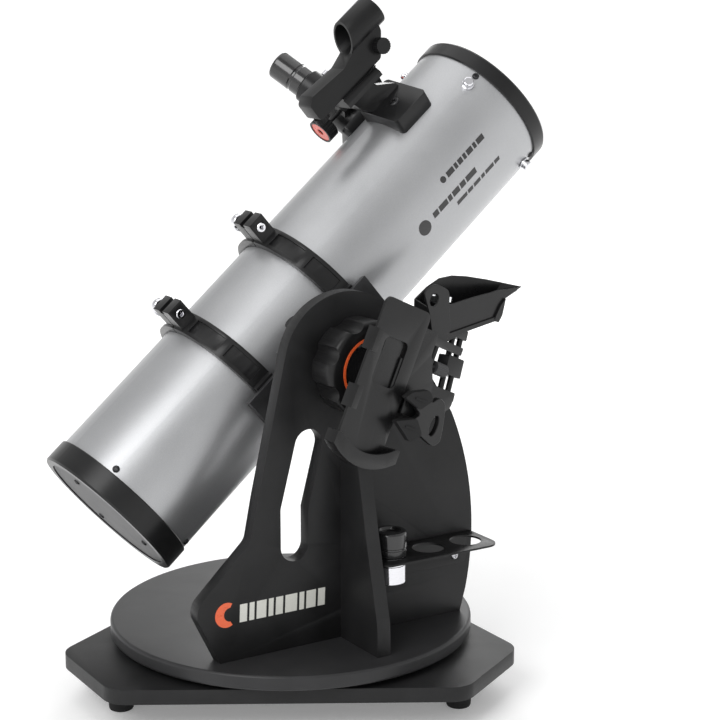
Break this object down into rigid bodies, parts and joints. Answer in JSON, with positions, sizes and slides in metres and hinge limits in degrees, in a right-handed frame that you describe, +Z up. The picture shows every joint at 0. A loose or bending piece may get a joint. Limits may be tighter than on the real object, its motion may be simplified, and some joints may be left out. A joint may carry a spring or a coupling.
{
  "type": "dobsonian telescope",
  "caption": "Tabletop reflector telescope on a one-armed rocker base, with red-dot finder, focuser, hinged tube rings, eyepiece tray and phone dock.",
  "frame": {"origin": "on the floor, on the azimuth axis, between the three feet", "axes": "+Z up along the azimuth axis, +X towards the side that the tube points to, -Y towards the tension knob and the phone dock"},
  "size_m": [0.5693, 0.4554, 0.696],
  "materials": {
    "laminate": "black laminate with a fine pebbled grain",
    "rubber": "matte",
    "steel": "zinc-plated",
    "dark_steel": "blackened",
    "nylon": "white, matte",
    "black_metal": "black powder coat",
    "gloss_black": "gloss",
    "chrome": "polished",
    "tube_silver": "fine metallic silver",
    "black_cast": "black satin enamel",
    "grey_cast": "dark grey, satin",
    "grey_cover": "dark grey, fine texture",
    "mirror": "aluminised",
    "black_plastic": "black, fine moulded grain",
    "black_anodised": "black anodised, satin",
    "orange_plastic": "orange",
    "red_plastic": "red",
    "glass": "coated",
    "dock_plastic": "dark grey, fine moulded grain",
    "grey_plastic": "grey"
  },
  "bodies": {
    "ground": {"ground_board": "laminate", "feet": "rubber", "foot_screws": "steel", "azimuth_pads": "nylon", "azimuth_bolt": "steel"},
    "rocker": {"turntable_board": "laminate", "side_board": "laminate", "brace_board": "laminate", "base_screws": "steel", "bearing_bushes": "nylon", "eyepiece_tray": "black_metal", "tray_screws": "steel"},
    "spare_eyepiece": {"spare_barrel": "chrome", "spare_housing": "gloss_black"},
    "tube": {"tube_shell": "tube_silver", "front_ring": "black_cast", "rear_ring": "black_cast", "tube_screws": "dark_steel", "rear_cover": "grey_cover", "primary_mirror": "mirror", "mirror_cell": "grey_cast", "collimation_screws": "steel", "collimation_springs": "steel", "spider": "black_metal", "spider_nuts": "chrome", "secondary_holder": "black_plastic", "secondary_mirror": "mirror", "upper_ring": "black_cast", "lower_ring": "black_cast", "ring_hardware": "chrome", "dovetail_bar": "grey_cast", "altitude_saddle": "black_cast", "altitude_shaft": "steel", "focuser_base": "black_cast", "finder_bracket": "black_cast", "finder_body": "black_plastic", "finder_window": "glass", "dock_frame": "dock_plastic", "dock_hood": "black_plastic", "dock_mirror": "mirror"},
    "tension_knob": {"tension_knob": "black_plastic", "knob_ring": "orange_plastic", "knob_cap": "gloss_black"},
    "upper_clamp": {"upper_clamp": "black_cast"},
    "lower_clamp": {"lower_clamp": "black_cast"},
    "upper_clamp_knob": {"upper_clamp_knob": "chrome"},
    "lower_clamp_knob": {"lower_clamp_knob": "chrome"},
    "saddle_screw": {"saddle_screw": "black_plastic"},
    "drawtube": {"drawtube": "black_anodised"},
    "focus_knobs": {"focus_shaft": "black_plastic", "focus_knob_faces": "red_plastic"},
    "eyepiece_thumbscrew": {"eyepiece_thumbscrew": "chrome"},
    "eyepiece": {"eyepiece_barrel": "chrome", "eyepiece_housing": "gloss_black"},
    "finder_switch": {"finder_switch": "black_plastic"},
    "finder_dial": {"finder_dial": "black_plastic"},
    "dock_platform": {"dock_platform": "dock_plastic"},
    "side_jaw": {"side_jaw": "dock_plastic"},
    "platform_wheel": {"platform_wheel": "grey_plastic"},
    "jaw_wheel": {"jaw_wheel": "grey_plastic"}
  },
  "joints": [
    {"name": "azimuth", "type": "hinge", "parent": "ground", "child": "rocker", "pos_m": [0, 0, 0.053], "axis": [0, 0, 1], "continuous": true},
    {"name": "altitude", "type": "hinge", "parent": "rocker", "child": "tube", "pos_m": [0.0084, 0, 0.3493], "axis": [0, -1, 0], "range_deg": [-40.7, 49.3]},
    {"name": "tension_knob_turn", "type": "hinge", "parent": "tube", "child": "tension_knob", "pos_m": [0.0084, -0.12, 0.3493], "axis": [0, -1, 0], "continuous": true},
    {"name": "upper_clamp_open", "type": "hinge", "parent": "tube", "child": "upper_clamp", "pos_m": [0.11719, 0.056, 0.3202], "axis": [-0.7581, 0, -0.6521], "range_deg": [0, 70]},
    {"name": "lower_clamp_open", "type": "hinge", "parent": "tube", "child": "lower_clamp", "pos_m": [0.02394, 0.056, 0.23999], "axis": [-0.7581, 0, -0.6521], "range_deg": [0, 70]},
    {"name": "upper_clamp_knob_turn", "type": "hinge", "parent": "upper_clamp", "child": "upper_clamp_knob", "pos_m": [-0.00867, 0.076, 0.46652], "axis": [0, 1, 0], "continuous": true},
    {"name": "lower_clamp_knob_turn", "type": "hinge", "parent": "lower_clamp", "child": "lower_clamp_knob", "pos_m": [-0.10192, 0.076, 0.38631], "axis": [0, 1, 0], "continuous": true},
    {"name": "saddle_screw_turn", "type": "hinge", "parent": "tube", "child": "saddle_screw", "pos_m": [-0.01442, -0.044, 0.37583], "axis": [-0.6521, 0, 0.7581], "continuous": true},
    {"name": "focus_turn", "type": "hinge", "parent": "tube", "child": "focus_knobs", "pos_m": [0.13974, 0.11313, 0.58091], "axis": [0.7581, 0, 0.6521], "range_deg": [-60, 182]},
    {"name": "focus_travel", "type": "slide", "parent": "tube", "child": "drawtube", "axis": [-0.4611, 0.7071, 0.5361], "range_m": [-0.0043, 0.0144]},
    {"name": "eyepiece_lift", "type": "slide", "parent": "drawtube", "child": "eyepiece", "axis": [-0.4611, 0.7071, 0.5361], "range_m": [0, 0.045]},
    {"name": "eyepiece_thumbscrew_turn", "type": "hinge", "parent": "drawtube", "child": "eyepiece_thumbscrew", "pos_m": [0.143, 0.16419, 0.60778], "axis": [0.7581, 0, 0.6521], "continuous": true},
    {"name": "spare_eyepiece_lift", "type": "slide", "parent": "rocker", "child": "spare_eyepiece", "axis": [0, 0, 1], "range_m": [0, 0.045]},
    {"name": "finder_switch_turn", "type": "hinge", "parent": "tube", "child": "finder_switch", "pos_m": [0.13707, 0.0432, 0.64596], "axis": [0, -1, 0], "range_deg": [0, 270]},
    {"name": "finder_dial_turn", "type": "hinge", "parent": "tube", "child": "finder_dial", "pos_m": [0.07353, 0.056, 0.57415], "axis": [-0.6521, 0, 0.7581], "continuous": true},
    {"name": "platform_wheel_turn", "type": "hinge", "parent": "tube", "child": "platform_wheel", "pos_m": [0.07756, -0.14006, 0.3455], "axis": [0.8791, 0.2773, -0.3877], "range_deg": [-125, 240]},
    {"name": "platform_travel", "type": "slide", "parent": "tube", "child": "dock_platform", "axis": [0.4035, 0, 0.915], "range_m": [-0.006, 0.012]},
    {"name": "side_jaw_travel", "type": "slide", "parent": "dock_platform", "child": "side_jaw", "axis": [0.8791, 0.2773, -0.3877], "range_m": [0, 0.014]},
    {"name": "jaw_wheel_turn", "type": "hinge", "parent": "tube", "child": "jaw_wheel", "pos_m": [0.0694, -0.13728, 0.3032], "axis": [0.2537, -0.9608, -0.1119], "continuous": true}
  ],
  "couplings": [
    {"joint": "focus_turn", "follows": "focus_travel", "rad_per_m": 209.44},
    {"joint": "platform_wheel_turn", "follows": "platform_travel", "rad_per_m": 333.33}
  ]
}
